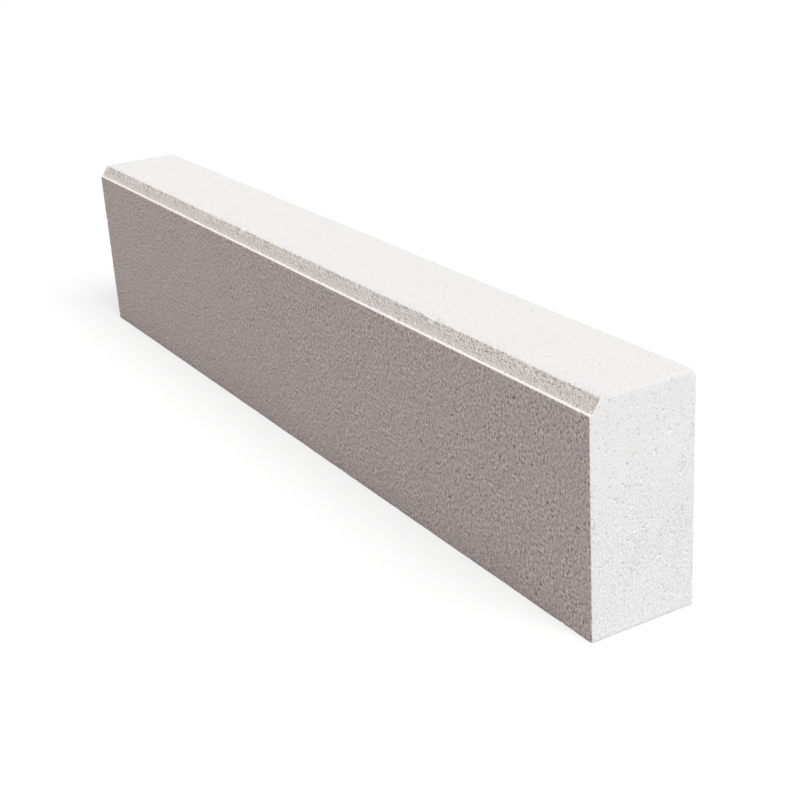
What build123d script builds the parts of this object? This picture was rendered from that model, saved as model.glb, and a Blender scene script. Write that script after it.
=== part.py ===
from build123d import *
import os

# A straight concrete kerb stone, cast in one piece and stood on its base.
# X runs along the kerb, the bevelled road face looks towards -Y and the base lies on Z = 0.
# All sizes are in millimetres.

# Overall block
length = 1000.0
width = 100.0
height = 200.0

# Bevelled front edge: how far it reaches back over the top and down the road face
bevel_depth = 10.5
bevel_drop = 12.0

# Ledge at the foot of the bevel, left by the rim of the pressing shoe
ledge_width = 2.2
ledge_fall = 0.4

# Soft arrises, as the piece leaves its mould: the pressed top edges are rounder than
# the edges of the mould's floor and walls, and the end edges are rubbed a little less still
brow_radius = 2.5
ledge_root_radius = 0.6
back_radius = 2.0
mould_arris_radius = 0.6
end_arris_share = 0.85


def kerb_section():
    """Cross-section of the kerb in the YZ plane, the road face on the left."""
    road_face = -width / 2
    back_face = width / 2
    lip_height = height - bevel_drop
    with BuildSketch(Plane.YZ) as section:
        with BuildLine():
            Polyline(
                (road_face, 0),
                (road_face, lip_height),
                (road_face + ledge_width, lip_height + ledge_fall),
                (road_face + bevel_depth, height),
                (back_face, height),
                (back_face, 0),
                close=True,
            )
        make_face()
        corners = section.vertices()
        base_corners = corners.group_by(Axis.Y)[0]
        lip, ledge_root = corners.group_by(Axis.Y)[1:3]
        brow, back_arris = corners.group_by(Axis.Y)[3].sort_by(Axis.X)
        fillet(base_corners, mould_arris_radius)
        fillet(lip, mould_arris_radius)
        fillet(ledge_root, ledge_root_radius)
        fillet(brow, brow_radius)
        fillet(back_arris, back_radius)
    return section.sketch


def kerb_stone():
    """The section pressed out to its full length, its end arrises taken off."""
    block = extrude(kerb_section(), length / 2, both=True)
    ends = block.faces().filter_by(Axis.X)
    return chamfer(ends.edges(), mould_arris_radius * end_arris_share)


os.makedirs("parts", exist_ok=True)
export_step(kerb_stone(), "parts/kerb_stone.step")
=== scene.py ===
import math
import random

import bpy
import numpy as np
from mathutils import Matrix, Vector, noise
from mathutils.geometry import delaunay_2d_cdt


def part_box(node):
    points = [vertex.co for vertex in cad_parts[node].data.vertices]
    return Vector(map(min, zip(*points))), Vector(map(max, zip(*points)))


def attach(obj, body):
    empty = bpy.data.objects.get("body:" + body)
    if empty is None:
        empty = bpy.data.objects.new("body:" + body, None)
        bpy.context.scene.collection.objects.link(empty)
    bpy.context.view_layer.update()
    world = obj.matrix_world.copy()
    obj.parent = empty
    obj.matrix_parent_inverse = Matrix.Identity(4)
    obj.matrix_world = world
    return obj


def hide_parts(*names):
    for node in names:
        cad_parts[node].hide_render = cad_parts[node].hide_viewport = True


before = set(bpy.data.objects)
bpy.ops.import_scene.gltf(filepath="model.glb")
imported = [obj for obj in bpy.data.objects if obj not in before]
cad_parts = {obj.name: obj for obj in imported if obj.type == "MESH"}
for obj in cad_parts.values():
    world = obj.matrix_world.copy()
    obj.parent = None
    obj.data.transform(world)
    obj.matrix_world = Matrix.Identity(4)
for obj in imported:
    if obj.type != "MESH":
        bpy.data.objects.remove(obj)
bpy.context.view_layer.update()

# Kerb stone: one block of pale fine-sand concrete, pressed top up into a steel mould and stripped at
# once. The shoe leaves the smooth top, the open-grained bevel and the thin ledge at its foot. The long
# walls of the mould drag faint upright marks down the two side faces, which are darker partly from
# the walls' rubbing and partly from painted shade.
kerb_low, kerb_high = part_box("kerb_stone")
length, width, height = kerb_high - kerb_low
bevel_depth = 0.0105
bevel_drop = 0.0120
ledge_width = 0.0022
ledge_fall = 0.0004
brow_radius = 0.0025
ledge_root_radius = 0.0006
back_radius = 0.0020
mould_arris_radius = 0.0006
end_arris = 0.00051

# Each corner of the section: its place, its rounding, and the face that follows it
lip_height = height - bevel_drop
section_corners = [
    ((width / 2, 0.0), mould_arris_radius, "base"),
    ((-width / 2, 0.0), mould_arris_radius, "road_face"),
    ((-width / 2, lip_height), mould_arris_radius, "ledge"),
    ((-width / 2 + ledge_width, lip_height + ledge_fall), ledge_root_radius, "bevel"),
    ((-width / 2 + bevel_depth, height), brow_radius, "top"),
    ((width / 2, height), back_radius, "back_face"),
]
base_back, base_front, lip, _, brow, top_back = (place for place, _, _ in section_corners)
arc_points = 7


def section_outline():
    """Goes round the section clockwise, as seen from the near end.

    Returns the arc length, place and outward normal of each outline point, and for each face
    the arc lengths where its flat part starts and stops."""
    places, normals, flat_starts = [], [], {}
    corner_places = [np.array(place) for place, _, _ in section_corners]
    for i, (_, radius, face) in enumerate(section_corners):
        corner = corner_places[i]
        arriving = corner - corner_places[i - 1]
        leaving = corner_places[(i + 1) % len(corner_places)] - corner
        heading = math.atan2(arriving[1], arriving[0])
        turn = math.remainder(math.atan2(leaving[1], leaving[0]) - heading, 2 * math.pi)
        side = math.copysign(1, turn)
        setback = radius * math.tan(abs(turn) / 2)
        normal = np.array((-math.sin(heading), math.cos(heading)))
        centre = corner - arriving / np.linalg.norm(arriving) * setback + side * radius * normal
        for step in range(arc_points):
            angle = heading + turn * step / (arc_points - 1)
            normal = np.array((-math.sin(angle), math.cos(angle)))
            places.append(centre - side * radius * normal)
            normals.append(normal)
        flat_starts[face] = len(places) - 1
    places = np.array(places + places[:1])
    normals = np.array(normals + normals[:1])
    run = np.concatenate([[0.0], np.cumsum(np.linalg.norm(np.diff(places, axis=0), axis=1))])
    flats = {face: (run[start], run[start + 1]) for face, start in flat_starts.items()}
    return run, places, normals, flats


outline_run, outline_places, outline_normals, flats = section_outline()


def on_outline(values, run):
    """Values given at the outline's points, read at other arc lengths."""
    return np.stack([np.interp(run, outline_run, column) for column in values.T], axis=-1)


# Spacing of the skin's points, for each face beside its arrises and in its middle: close along
# the arrises and the bevel, and wide over the base and the back
arris_spacing = 0.0011
face_spacings = {
    "base": (0.0040, 0.0080),
    "road_face": (arris_spacing, 0.0030),
    "ledge": (0.0009, 0.0009),
    "bevel": (arris_spacing, 0.0013),
    "top": (arris_spacing, 0.0036),
    "back_face": (arris_spacing, 0.0050),
}
along_share = 1.15
spacing_growth = 1.3
scatter_share = 0.2
seed = 20
draw = random.Random(seed)


def graded(start, stop, fine, coarse):
    """Places from start to stop, close together at both ends and wider in the middle."""
    offsets, step = [0.0], fine
    while offsets[-1] + step < (stop - start) / 2:
        offsets.append(offsets[-1] + step)
        step = min(step * spacing_growth, coarse)
    stretch = (stop - start) / 2 / (offsets[-1] + step / 2)
    rising = [start + offset * stretch for offset in offsets]
    falling = [stop - offset * stretch for offset in reversed(offsets)]
    return rising + falling


# Pores: air holes that pressing leaves open. For each face, how many are tried, the least and
# greatest radius, and how they crowd across it: 1 spreads them evenly, less draws them up the bevel
# to the brow, and more draws them over the top to the brow. Each is a small bowl: the radius, points
# and depth of its rings, the radius and depth as shares of the pore's radius.
pore_kinds = {
    "road_face": (420, 0.0006, 0.0016, 1.0),
    "back_face": (200, 0.0007, 0.0016, 1.0),
    "bevel": (420, 0.0005, 0.0011, 0.50),
    "top": (75, 0.0004, 0.0009, 2.5),
    "base": (40, 0.0010, 0.0022, 1.0),
    "end": (44, 0.0004, 0.0008, 1.0),
}
pore_rings = ((0.0, 1, 1.0), (0.55, 6, 0.8), (1.0, 9, 0.0))
pore_clearance = 0.0012
pore_hollow_share = 1.3
small_pore_power = 2


def pores_in(kind, low, high):
    """Scatters one face's pores between two corners of its flat, clear of each other."""
    count, least, greatest, crowding = pore_kinds[kind]
    found = []
    for _ in range(count):
        radius = least + (greatest - least) * draw.random() ** small_pore_power
        margin = radius + pore_clearance
        u = draw.uniform(low[0] + margin, high[0] - margin)
        v = low[1] + margin + (high[1] - low[1] - 2 * margin) * draw.random() ** crowding
        if all(math.hypot(u - a, v - b) > margin + r for a, b, r in found):
            found.append((u, v, radius))
    return found


def with_pores(flat_points, pores):
    """Clears the points around each pore, puts the pore's rings there, and gives every depth."""
    flat_points = np.array(flat_points)
    kept = np.ones(len(flat_points), bool)
    ring_points, ring_depths = [], []
    for u, v, radius in pores:
        reach = np.hypot(flat_points[:, 0] - u, flat_points[:, 1] - v)
        kept &= reach > radius * pore_hollow_share
        for reach_share, count, depth_share in pore_rings:
            first = draw.random()
            for step in range(count):
                angle = 2 * math.pi * (first + step / count)
                offset = reach_share * radius
                ring_points.append((u + offset * math.cos(angle), v + offset * math.sin(angle)))
                ring_depths.append(depth_share * radius)
    points = np.vstack([flat_points[kept], ring_points])
    return points, np.concatenate([np.zeros(kept.sum()), ring_depths])


same_place = 1e-9


def triangles(points, edge=()):
    """Delaunay triangles of flat points, inside the closed edge if one is given."""
    inside_only = 1 if edge else 0
    edges = [edge] if edge else []
    made = delaunay_2d_cdt([Vector(p) for p in points], [], edges, inside_only, same_place)
    if len(made[0]) != len(points):
        raise ValueError("two skin points coincide")
    return np.array(made[2])


# The sleeve: the skin round the section, laid out flat as length by arc length. Its first and
# last row are the same line on the stone. A round corner gets two rows, and a tight one a single row.
# The points are scattered a little along their rows, but not in the first row or close to the ends.
girth = outline_run[-1]
round_corner_steps = (2, 4)
tight_corner_steps = (3,)
rows = []
for corner, (_, radius, _) in enumerate(section_corners):
    steps = round_corner_steps if radius > arris_spacing else tight_corner_steps
    rows += [outline_run[corner * arc_points + step] for step in steps]
for face, (first, last) in flats.items():
    rows += graded(first, last, *face_spacings[face])
rows = sorted(rows)
end_step = end_arris / 3
fixed_reach = 4 * end_arris
sleeve_points = []
for i, run in enumerate(rows):
    gap = (rows[(i + 1) % len(rows)] - rows[i - 1]) % girth / 2
    stops = graded(-length / 2, length / 2, end_step, max(gap, arris_spacing) * along_share)
    for j, along in enumerate(stops):
        loose = abs(along) < length / 2 - fixed_reach and run != rows[0]
        step = stops[j + 1] - along if along < 0 else along - stops[j - 1]
        shift = scatter_share * step * draw.uniform(-1, 1) if loose else 0.0
        sleeve_points.append((along + shift, run))

# Short rows between the others at the ends, where the arrises wear and chip
short_row_spacing = 0.0015
short_row_reach = 0.0060
for face in ("road_face", "top", "back_face"):
    first, last = flats[face]
    for before, after in zip(rows, rows[1:]):
        on_face = first <= before and after <= last
        extra_rows = int((after - before) / short_row_spacing) if on_face else 0
        for i in range(1, extra_rows + 1):
            run = before + (after - before) * i / (extra_rows + 1)
            for offset in graded(0.0, 2 * short_row_reach, end_step, short_row_spacing * along_share):
                if offset < short_row_reach:
                    sleeve_points += [(offset - length / 2, run), (length / 2 - offset, run)]
sleeve_pores = []
for face, (first, last) in flats.items():
    if face in pore_kinds:
        sleeve_pores += pores_in(face, (-length / 2, first), (length / 2, last))
sleeve_points, sleeve_depths = with_pores(sleeve_points, sleeve_pores)
first_row = np.flatnonzero(sleeve_points[:, 1] == rows[0])
closing_row = sleeve_points[first_row] + np.array((0.0, girth))
sleeve_triangles = triangles(np.vstack([sleeve_points, closing_row]))
closed = np.concatenate([np.arange(len(sleeve_points)), first_row])
sleeve_triangles = closed[sleeve_triangles]

# Near each end the sleeve turns in, to the rounded arris
from_end = length / 2 - np.abs(sleeve_points[:, 0])
into_arris = np.clip(end_arris - from_end, 0.0, None)
inset = end_arris - np.sqrt(end_arris**2 - into_arris**2)
section_points = on_outline(outline_places, sleeve_points[:, 1] % girth)
section_normals = on_outline(outline_normals, sleeve_points[:, 1] % girth)
section_points = section_points - inset[:, None] * section_normals
places = [np.column_stack([sleeve_points[:, 0], section_points])]
faces = [sleeve_triangles]
pore_depths = [sleeve_depths]

# The two ends, each closed over the sleeve's last ring of points. Every other row of points inside
# that ring is half a step over.
end_spacing = 0.0026
end_row_spacing = 0.87 * end_spacing
rim_clearance = 0.45 * end_spacing
for end in (-1, 1):
    ring = np.flatnonzero(sleeve_points[:, 0] == end * length / 2)
    ring = ring[np.argsort(sleeve_points[ring, 1])]
    rim = section_points[ring]
    low, high = rim.min(axis=0), rim.max(axis=0)
    inner = []
    for i, z in enumerate(np.arange(low[1] + end_spacing, high[1], end_row_spacing)):
        for y in np.arange(low[0] + end_spacing * (1 + i % 2) / 2, high[0], end_spacing):
            shift = [scatter_share * end_spacing * draw.uniform(-1, 1) for _ in range(2)]
            inner.append((y + shift[0], z + shift[1]))
    inner = np.array(inner)
    rim_offsets = inner[:, None] - rim[None]
    to_rim = np.hypot(rim_offsets[..., 0], rim_offsets[..., 1]).min(axis=1)
    above_bevel = (inner[:, 1] - lip_height) * bevel_depth > (inner[:, 0] + width / 2) * bevel_drop
    inner = inner[(to_rim > rim_clearance) & ~above_bevel]
    end_low, end_high = low + end_spacing, high - end_spacing - np.array((0.0, bevel_drop))
    inner, inner_depths = with_pores(inner, pores_in("end", end_low, end_high))
    count = sum(len(block) for block in places)
    end_triangles = triangles(np.vstack([rim, inner]), list(range(len(ring))))
    numbers = np.concatenate([ring, np.arange(count, count + len(inner))])
    places.append(np.column_stack([np.full(len(inner), end * length / 2), inner]))
    faces.append(numbers[end_triangles][:, ::end])
    pore_depths.append(inner_depths)
places = np.vstack(places)
faces = np.vstack(faces)
pore_depths = np.concatenate(pore_depths)

kerb_mesh = bpy.data.meshes.new("kerb_skin")
kerb_mesh.from_pydata(places, [], faces)
kerb_mesh.update()
kerb = bpy.data.objects.new("kerb_skin", kerb_mesh)
bpy.context.scene.collection.objects.link(kerb)

# Outward directions, evened out over the neighbours: a little for the grain, and more for wear,
# so that an arris wears back as a whole
grain_rounds, wear_rounds = 2, 18
outward = np.empty(len(places) * 3)
kerb_mesh.vertices.foreach_get("normal", outward)
outward = outward.reshape(-1, 3)
links = np.empty(len(kerb_mesh.edges) * 2, int)
kerb_mesh.edges.foreach_get("vertices", links)
links = links.reshape(-1, 2)


def evened(directions, rounds):
    """Directions averaged with their neighbours' again and again."""
    for _ in range(rounds):
        total = directions.copy()
        np.add.at(total, links[:, 0], directions[links[:, 1]])
        np.add.at(total, links[:, 1], directions[links[:, 0]])
        directions = total / np.linalg.norm(total, axis=1, keepdims=True)
    return directions


outward = evened(outward, grain_rounds)
wear_outward = evened(outward, wear_rounds)

# Where each point lies: on a long mould wall, on the bevel, on the ledge, on an end, and how near the
# brow. The bevel and the ledge each fade out above their own edge.
hair = 1e-6
brow_fade = 0.0022
brow_reach = 0.0090
ledge_fade = 0.0010
end_mark_reach = 0.4 * end_arris
on_sleeve = np.arange(len(places)) < len(sleeve_points)
sleeve_run = np.full(len(places), -1.0)
sleeve_run[on_sleeve] = sleeve_points[:, 1] % girth
from_end = length / 2 - np.abs(places[:, 0])
from_rim = np.zeros(len(places))
rim_offsets = places[~on_sleeve, None, 1:] - outline_places[None]
from_rim[~on_sleeve] = np.hypot(rim_offsets[..., 0], rim_offsets[..., 1]).min(axis=1)


def on_flat(face):
    """True for the points on one face's flat part."""
    first, last = flats[face]
    return (sleeve_run >= first - hair) & (sleeve_run <= last + hair)


on_end = (from_end < end_mark_reach).astype(float)
on_wall = (on_flat("road_face") | on_flat("back_face")) * (1 - on_end)
past_brow = np.clip(1 - (sleeve_run - flats["bevel"][1]) / brow_fade, 0, 1)
on_bevel = np.where(sleeve_run >= flats["bevel"][0] - hair, past_brow, 0.0) * (1 - on_end)
brow_distance = np.hypot(places[:, 1] - brow[0], places[:, 2] - brow[1])
near_brow = np.clip(1 - brow_distance / brow_reach, 0, 1) * (1 - on_end)
past_ledge = np.clip(1 - (sleeve_run - flats["ledge"][1]) / ledge_fade, 0, 1)
on_ledge = np.where(sleeve_run > flats["road_face"][1] + hair, past_ledge, 0.0) * (1 - on_end)


def ripple(wavelength, start, stretch=(1.0, 1.0, 1.0)):
    """Smooth noise from 0 to 1 at every skin point, drawn out along an axis by its stretch.

    The start keeps one ripple apart from the others."""
    scaled = places / (wavelength * np.array(stretch)) + start
    return (np.array([noise.noise(p) for p in scaled]) + 1) / 2


# Wear of the arrises, ragged along their length: for each, how far it reaches and how deep.
# Close to the ends the mould's end plates held the arrises, and they wear less.
arris_wear = (
    (lip, 0.0012, 0.00020),
    (brow, 0.0048, 0.00130),
    (top_back, 0.0040, 0.00050),
    (base_front, 0.0030, 0.00040),
    (base_back, 0.0030, 0.00040),
)
end_reach, end_wear = 0.0022, 0.00030
held_reach, held_share = 0.0050, 0.15
held = np.clip(from_end / held_reach, held_share, 1)
short_wear_length, long_wear_length = 0.0035, 0.0140
wear_noise = 2 * ripple(short_wear_length, start=3.0) * ripple(long_wear_length, start=5.0)
wear = np.zeros(len(places))
for (y, z), reach, depth in arris_wear:
    nearness = np.clip(1 - np.hypot(places[:, 1] - y, places[:, 2] - z) / reach, 0, 1)
    wear = np.maximum(wear, depth * np.sqrt(nearness) * wear_noise * held)
end_nearness = np.clip(1 - (from_end + from_rim) / end_reach, 0, 1)
wear = np.maximum(wear, end_wear * np.sqrt(end_nearness) * wear_noise)

# Chips knocked out of the arrises by handling: a shallow scoop each, most of them very small, and
# mere nicks on the lip and the ends. A scoop goes in along one direction, straight into the arris.
# Two corners of the near end are worn round first.
worn_corners = ((top_back, 0.0055), (base_front, 0.0028))
chip_count = 70
chip_least, chip_greatest, nick_greatest = 0.0018, 0.0060, 0.0026
small_chip_power = 3
chip_depth_share = 0.22
end_chip_share = 0.35
chipped_arrises = (lip, lip, brow, brow, brow, top_back, top_back, base_front, base_back)
chips = [(length / 2, *corner, radius) for corner, radius in worn_corners]
for _ in range(chip_count):
    along = draw.uniform(-length / 2, length / 2)
    y, z = draw.choice(chipped_arrises)
    greatest = nick_greatest if (y, z) == lip else chip_greatest
    if draw.random() < end_chip_share:
        greatest = nick_greatest
        along = draw.choice((-length / 2, length / 2))
        up_share = draw.random()
        y, z = draw.choice(((-width / 2, lip_height * up_share), (width / 2, height * up_share)))
    radius = chip_least + (greatest - chip_least) * draw.random() ** small_chip_power
    chips.append((along, y, z, radius))
chipped = np.zeros((len(places), 3))
chip_depth = np.zeros(len(places))
for along, y, z, radius in chips:
    distance = np.linalg.norm(places - np.array((along, y, z)), axis=1)
    scoop = np.clip(1 - (distance / radius) ** 2, 0, None)
    into = -(outward * scoop[:, None]).sum(axis=0)
    into /= max(np.linalg.norm(into), hair)
    chipped += into * (radius * chip_depth_share * scoop)[:, None]
    chip_depth += radius * chip_depth_share * scoop

# Relief of the faces, all of it pressed in from the mould's surface: coarse grain, the upright drag
# marks of the mould walls, slow hollows, and the pores
grain_depth = 0.00012
grain_lengths = (0.0055, 0.0030)
grain_on_top, grain_on_walls, grain_on_bevel = 0.5, 0.4, 2.6
root_fade = 0.0020
drag_depth = 0.00010
drag_length = 0.0030
drag_stretch = (1.0, 1.0, 18.0)
hollow_depth = 0.00025
hollow_length = 0.1400
grain = ripple(grain_lengths[0], start=7.0) + ripple(grain_lengths[1], start=11.0)
grain_share = grain_on_top + (grain_on_walls - grain_on_top) * np.maximum(on_wall, on_end)
above_root = np.clip((sleeve_run - flats["bevel"][0]) / root_fade, 0, 1)
grain_share = np.maximum(grain_share, grain_on_bevel * on_bevel * above_root * held)
relief = grain_depth * grain * grain_share
drag_marks = ripple(drag_length, start=13.0, stretch=drag_stretch)
relief += drag_depth * drag_marks * np.maximum(on_wall, on_end)
relief += hollow_depth * ripple(hollow_length, start=17.0)
relief += pore_depths
relief -= relief.min()
inward = np.where(end_nearness[:, None] > 0, wear_outward, outward) * relief[:, None]
carved = chipped - inward - wear_outward * wear[:, None]
kerb_mesh.vertices.foreach_set("co", (places + carved).ravel())
kerb_mesh.shade_smooth()
kerb_mesh.update()

# What the finish reads at each point. The pale inside shows where a mould wall is chipped. The ends
# are densest near the top, where the shoe pressed, and their arrises get painted shade.
end_grain_heights = (0.0, 0.4 * height, 0.7 * height)
end_grain_shares = (1.05, 1.40, 0.40)
full_pore = 0.0010
full_wear = 0.0005
full_chip = 0.0004
marks = {
    "mould_wall": on_wall * np.clip(1 - chip_depth / full_chip, 0, 1),
    "open_bevel": on_bevel,
    "mould_end": on_end,
    "end_grain": on_end * np.interp(places[:, 2], end_grain_heights, end_grain_shares),
    "near_brow": near_brow,
    "end_arris": ((from_end > hair) & (from_end < end_arris)).astype(float),
    "ledge": on_ledge,
    "pore": np.clip(pore_depths / full_pore, 0, 1),
    "wear": np.clip(wear / full_wear, 0, 1),
}
for name, values in marks.items():
    mark = kerb_mesh.attributes.new(name, "FLOAT", "POINT")
    mark.data.foreach_set("value", values.astype(np.float32))

# The concrete: one mix, which each side of the mould finishes in its own tone. The side faces' darker,
# warmer tone is partly painted shade.
top_tone = (0.815, 0.797, 0.782, 1.0)
# Ledge: paler than the top, a painted highlight that makes the thin up-facing strip show as a bright
# line
ledge_highlight_tone = (0.949, 0.896, 0.858, 1.0)
end_tone = (0.832, 0.832, 0.832, 1.0)
bevel_tone = (0.753, 0.697, 0.662, 1.0)
# Side faces: darker and warmer partly from the mould walls, and partly painted shade
wall_tone_and_shade = (0.730, 0.620, 0.584, 1.0)
specular_level = 0.25

concrete = bpy.data.materials.new("concrete")
concrete.use_nodes = True
nodes, wires = concrete.node_tree.nodes, concrete.node_tree.links
shader = nodes["Principled BSDF"]
shader.inputs["Specular IOR Level"].default_value = specular_level
where = nodes.new("ShaderNodeTexCoord").outputs["Object"]


def plug(value, socket):
    """Wires an output to an input, or sets the input to a constant."""
    if isinstance(value, bpy.types.NodeSocket):
        wires.new(value, socket)
    else:
        socket.default_value = value


def worked(operation, a, b):
    """One step of arithmetic on two values."""
    node = nodes.new("ShaderNodeMath")
    node.operation = operation
    plug(a, node.inputs[0])
    plug(b, node.inputs[1])
    return node.outputs[0]


def plus(first, *others):
    """Values added up."""
    total = first
    for other in others:
        total = worked("ADD", total, other)
    return total


def less(a, b):
    """One value taken from another."""
    return worked("SUBTRACT", a, b)


def times(a, b):
    """One value times another."""
    return worked("MULTIPLY", a, b)


def mixed(share, a, b):
    """A colour between two colours."""
    node = nodes.new("ShaderNodeMix")
    node.data_type = "RGBA"
    plug(share, node.inputs["Factor"])
    plug(a, node.inputs["A"])
    plug(b, node.inputs["B"])
    return node.outputs["Result"]


def ranged(value, low, high, to_low=0.0, to_high=1.0):
    """A value moved from one range to another, and held inside it."""
    node = nodes.new("ShaderNodeMapRange")
    plug(value, node.inputs["Value"])
    plug(low, node.inputs["From Min"])
    plug(high, node.inputs["From Max"])
    plug(to_low, node.inputs["To Min"])
    plug(to_high, node.inputs["To Max"])
    return node.outputs["Result"]


def between(share, a, b):
    """A value between two values."""
    return ranged(share, 0.0, 1.0, a, b)


def swung(value, swing, middle=0.5):
    """How far a value lies from its middle, made larger or smaller."""
    return times(less(value, middle), swing)


def mark_of(name):
    """A mark read from the skin."""
    node = nodes.new("ShaderNodeAttribute")
    node.attribute_name = name
    return node.outputs["Fac"]


def noise_of(sizes, detail=0.0):
    """Cloudy noise with its own size along each axis."""
    mapping = nodes.new("ShaderNodeMapping")
    mapping.inputs["Scale"].default_value = [1 / size for size in sizes]
    wires.new(where, mapping.inputs["Vector"])
    node = nodes.new("ShaderNodeTexNoise")
    node.inputs["Scale"].default_value = 1.0
    node.inputs["Detail"].default_value = detail
    wires.new(mapping.outputs["Vector"], node.inputs["Vector"])
    return node.outputs["Fac"]


wall = mark_of("mould_wall")
end_face = mark_of("mould_end")
end_grain = mark_of("end_grain")
painted_arris_shade_mask = mark_of("end_arris")
brow_share = mark_of("near_brow")
pore = mark_of("pore")
worn = mark_of("wear")

# The noises. Those of the walls are a quarter of the width deep, so that both walls lie on whole steps
# of them, where the grain comes out even and has no coarse blotches.
open_sand = noise_of(sizes=(0.0021, 0.0011, 0.0019))
wall_sand = noise_of(sizes=(0.0022, width / 4, 0.0026))
sand = plus(open_sand, times(wall, less(wall_sand, open_sand)))
grit = noise_of(sizes=(0.0032, 0.0019, 0.0027))
fleck = noise_of(sizes=(0.0023, 0.0023, 0.0023))
drag = noise_of(sizes=(0.0027, width / 4, 0.0048))
patch = noise_of(sizes=(0.0160, 0.0160, 0.0160), detail=1.0)
cloud = noise_of(sizes=(0.0500, 0.0500, 0.0500), detail=3.0)

# The bevel's upper edge is ragged, where grains broke away with the shoe, and so is the ledge's
ragged_swing = 2.2
edge_low, edge_high = 0.35, 0.65
ragged = swung(noise_of(sizes=(0.0030, 0.0030, 0.0030), detail=1.0), ragged_swing)
bevel = ranged(plus(mark_of("open_bevel"), ragged), edge_low, edge_high)
ledge = ranged(plus(mark_of("ledge"), ragged), edge_low, edge_high)
coarse = worked("MAXIMUM", wall, bevel)
colour = mixed(end_face, top_tone, end_tone)
colour = mixed(bevel, colour, bevel_tone)
colour = mixed(ledge, colour, ledge_highlight_tone)
colour = mixed(wall, colour, wall_tone_and_shade)

# How far the grain swings the tone: on the smooth top, on the coarse bevel and walls, and what the
# ends and the walls add to that. The sand comes and goes in patches.
full_tone = 1.0
sand_on_top, sand_on_coarse, sand_on_ends, sand_on_walls = 0.12, 0.28, 0.24, 1.00
patch_low, patch_high = 0.35, 0.65
patch_faint, patch_strong = 0.65, 1.35
grit_on_top, grit_on_coarse, grit_on_ends = 0.06, 0.14, 0.14
drag_on_walls = 0.34
cloud_swing = 0.06
sand_swing = plus(between(coarse, sand_on_top, sand_on_coarse), times(end_grain, sand_on_ends))
sand_swing = plus(sand_swing, times(wall, sand_on_walls))
sand_swing = times(sand_swing, ranged(patch, patch_low, patch_high, patch_faint, patch_strong))
grit_swing = plus(between(coarse, grit_on_top, grit_on_coarse), times(end_grain, grit_on_ends))
tone = plus(full_tone, swung(sand, sand_swing), swung(grit, grit_swing))
tone = plus(tone, swung(drag, times(wall, drag_on_walls)), swung(cloud, cloud_swing))

# What darkens the tone: the open sand of the ends, dirt and painted shade in the pores, the worn
# arrises, and painted shade on the arrises at the ends, which damps the light they catch
end_dark = 0.03
pore_on_top, pore_on_coarse, pore_on_walls = 0.60, 0.35, 0.25
wear_on_top, wear_on_walls = 0.01, 0.08
painted_arris_shade = 0.20
pore_dirt_and_shade = plus(between(coarse, pore_on_top, pore_on_coarse), times(wall, pore_on_walls))
tone = less(tone, times(end_grain, end_dark))
# Pores: darkened with dirt and with painted shade inside them
tone = less(tone, times(pore, pore_dirt_and_shade))
tone = less(tone, times(worn, between(wall, wear_on_top, wear_on_walls)))
# Painted shade on the arrises at the ends, which damps the light they catch
tone = less(tone, times(painted_arris_shade_mask, painted_arris_shade))

# Open pits between the grains, in loose clusters: crowded along the brow, fewer elsewhere, and dark
# with dirt and painted shade. The bevel is also a little darker near the brow.
cluster_middle, cluster_swing = 0.40, -0.40
cluster_on_top, cluster_on_walls = 1.0, 0.2
brow_crowding = 0.12
pit_edge, pit_floor = 0.36, 0.24
pit_on_top, pit_on_walls, pit_on_ends, pit_on_bevel = 0.03, 0.15, 0.14, 0.27
brow_dark = 0.05
cluster = swung(patch, cluster_swing, cluster_middle)
cluster = times(cluster, between(wall, cluster_on_top, cluster_on_walls))
crowded = plus(cluster, times(brow_share, brow_crowding))
pit = ranged(less(fleck, crowded), pit_edge, pit_floor)
pit_dirt_and_shade = plus(pit_on_top, times(wall, pit_on_walls), times(end_face, pit_on_ends))
pit_dirt_and_shade = plus(pit_dirt_and_shade, times(bevel, pit_on_bevel))
tone = less(tone, times(pit, pit_dirt_and_shade))
tone = less(tone, times(times(brow_share, bevel), brow_dark))
shade = nodes.new("ShaderNodeVectorMath")
shade.operation = "SCALE"
wires.new(colour, shade.inputs[0])
wires.new(tone, shade.inputs["Scale"])
wires.new(shade.outputs["Vector"], shader.inputs["Base Color"])

# The grains are rougher where they stand up, and with the drag marks and the pits they are the bump
sand_low, sand_high = 0.3, 0.7
least_rough, most_rough = 0.84, 0.96
drag_height, pit_height = 0.5, 0.4
bump_on_top, bump_on_coarse, bump_on_ends, bump_on_walls = 0.2, 0.7, 0.05, 0.3
bump_distance = 0.0009
rough = ranged(sand, sand_low, sand_high, least_rough, most_rough)
bump_height = plus(sand, times(drag, times(wall, drag_height)))
bump_height = less(bump_height, times(pit, pit_height))
bump_strength = plus(between(coarse, bump_on_top, bump_on_coarse), times(end_grain, bump_on_ends))
bump_strength = plus(bump_strength, times(wall, bump_on_walls))
wires.new(rough, shader.inputs["Roughness"])
bump = nodes.new("ShaderNodeBump")
bump.inputs["Distance"].default_value = bump_distance
wires.new(bump_strength, bump.inputs["Strength"])
wires.new(bump_height, bump.inputs["Height"])
wires.new(bump.outputs["Normal"], shader.inputs["Normal"])
kerb_mesh.materials.append(concrete)

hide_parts("kerb_stone")
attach(kerb, "root")

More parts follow.
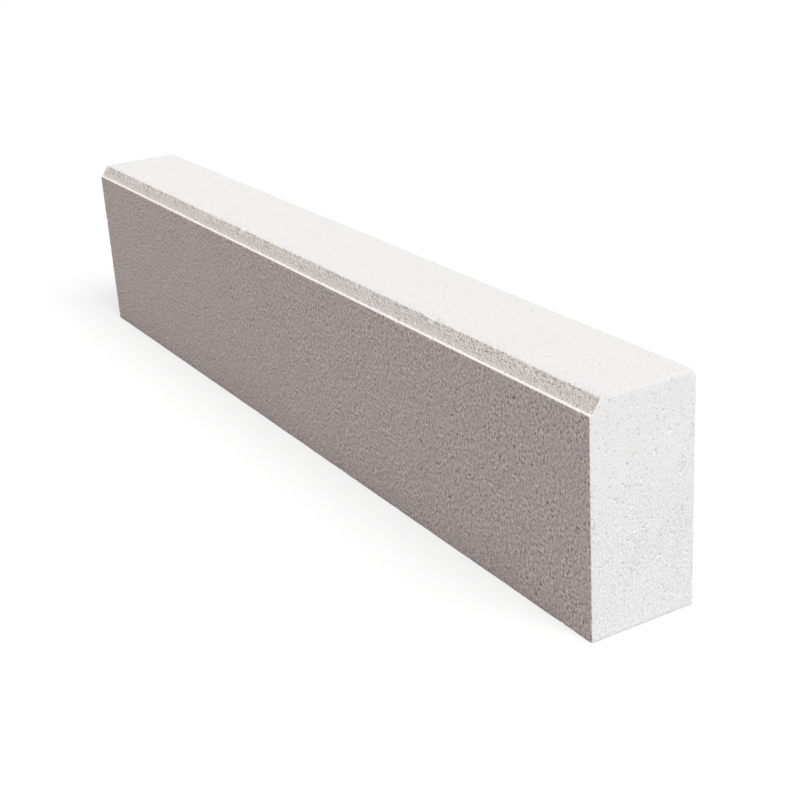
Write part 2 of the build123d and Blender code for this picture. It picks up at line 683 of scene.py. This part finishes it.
# Floor: a wide sheet of matt paper under the stone. It is darker for the light that it throws back at
# the stone, and lifted to near white where it is seen directly, so that only a soft shadow shows.
floor_reach = 60.0
floor_tone = 0.45
floor_seen_tone = 0.95
floor_lift = 0.70
floor_corners = [(-1, -1), (1, -1), (1, 1), (-1, 1)]
floor_places = [(x * floor_reach, y * floor_reach, 0.0) for x, y in floor_corners]
floor_mesh = bpy.data.meshes.new("floor")
floor_mesh.from_pydata(floor_places, [], [(0, 1, 2, 3)])
floor = bpy.data.objects.new("floor", floor_mesh)
bpy.context.scene.collection.objects.link(floor)
paper = bpy.data.materials.new("floor_paper")
paper.use_nodes = True
nodes, wires = paper.node_tree.nodes, paper.node_tree.links
nodes.remove(nodes["Principled BSDF"])


def seen_directly():
    """1 for a ray from the camera, or one that a mirror or glass passes on to it."""
    ray = nodes.new("ShaderNodeLightPath")
    seen = worked("MAXIMUM", ray.outputs["Is Camera Ray"], ray.outputs["Is Glossy Ray"])
    return worked("MAXIMUM", seen, ray.outputs["Is Transmission Ray"])


def mixed_shader(share, a, b):
    """A shader between two shaders."""
    node = nodes.new("ShaderNodeMixShader")
    plug(share, node.inputs[0])
    wires.new(a.outputs[0], node.inputs[1])
    wires.new(b.outputs[0], node.inputs[2])
    return node


matt = nodes.new("ShaderNodeBsdfDiffuse")
matt.inputs["Color"].default_value = (floor_tone, floor_tone, floor_tone, 1.0)
paler = nodes.new("ShaderNodeBsdfDiffuse")
paler.inputs["Color"].default_value = (floor_seen_tone, floor_seen_tone, floor_seen_tone, 1.0)
white = nodes.new("ShaderNodeEmission")
lifted = mixed_shader(floor_lift, paler, white)
floor_shader = mixed_shader(seen_directly(), matt, lifted)
wires.new(floor_shader.outputs[0], nodes["Material Output"].inputs["Surface"])
floor_mesh.materials.append(paper)

# Light: a soft white dome and one broad lamp, from high up on the near end's side. Where the dome is
# seen directly, it is a plain white backdrop.
dome_strength = 0.385
key_strength = 0.90
key_spread = math.radians(30)
key_from = Vector((0.56, 0.04, 0.70))
world = bpy.data.worlds.new("studio")
bpy.context.scene.world = world
world.use_nodes = True
nodes, wires = world.node_tree.nodes, world.node_tree.links
dome = nodes["Background"]
dome.inputs["Color"].default_value = (1.0, 1.0, 1.0, 1.0)
dome.inputs["Strength"].default_value = dome_strength
backdrop = nodes.new("ShaderNodeBackground")
backdrop.inputs["Color"].default_value = (1.0, 1.0, 1.0, 1.0)
sky = mixed_shader(seen_directly(), dome, backdrop)
wires.new(sky.outputs[0], nodes["World Output"].inputs["Surface"])
key = bpy.data.lights.new("key", "SUN")
key.energy = key_strength * math.pi
key.angle = key_spread
key_lamp = bpy.data.objects.new("key", key)
key_lamp.rotation_euler = key_from.to_track_quat("Z", "Y").to_euler()
bpy.context.scene.collection.objects.link(key_lamp)

# Camera: right of the road face and a little above the stone, as the photograph was taken. It stands
# where the stone's centre falls on its pixel of the picture.
picture_pixels = 800
focal_pixels = 1476.1
kerb_centre_pixel = (328.7, 335.9)
camera_azimuth = math.radians(60.51)
camera_elevation = math.radians(22.00)
camera_roll = math.radians(-3.645)
camera_distance = 1.5123
level_length = math.cos(camera_elevation)
back = Vector((
    math.sin(camera_azimuth) * level_length,
    -math.cos(camera_azimuth) * level_length,
    math.sin(camera_elevation),
))
level_right = Vector((0.0, 0.0, 1.0)).cross(back).normalized()
level_up = back.cross(level_right)
right = level_right * math.cos(camera_roll) + level_up * math.sin(camera_roll)
up = back.cross(right)
pixels_right = picture_pixels / 2 - kerb_centre_pixel[0]
pixels_up = kerb_centre_pixel[1] - picture_pixels / 2
aside = (right * pixels_right + up * pixels_up) * camera_distance / focal_pixels
kerb_centre = (kerb_low + kerb_high) / 2
camera_data = bpy.data.cameras.new("camera")
camera_data.sensor_width = 36.0
camera_data.lens = camera_data.sensor_width * focal_pixels / picture_pixels
camera = bpy.data.objects.new("camera", camera_data)
camera_turn = Matrix((right, up, back)).transposed().to_4x4()
camera.matrix_world = Matrix.Translation(kerb_centre + back * camera_distance + aside) @ camera_turn
bpy.context.scene.collection.objects.link(camera)
bpy.context.scene.camera = camera

bpy.context.scene.view_settings.view_transform = "Standard"
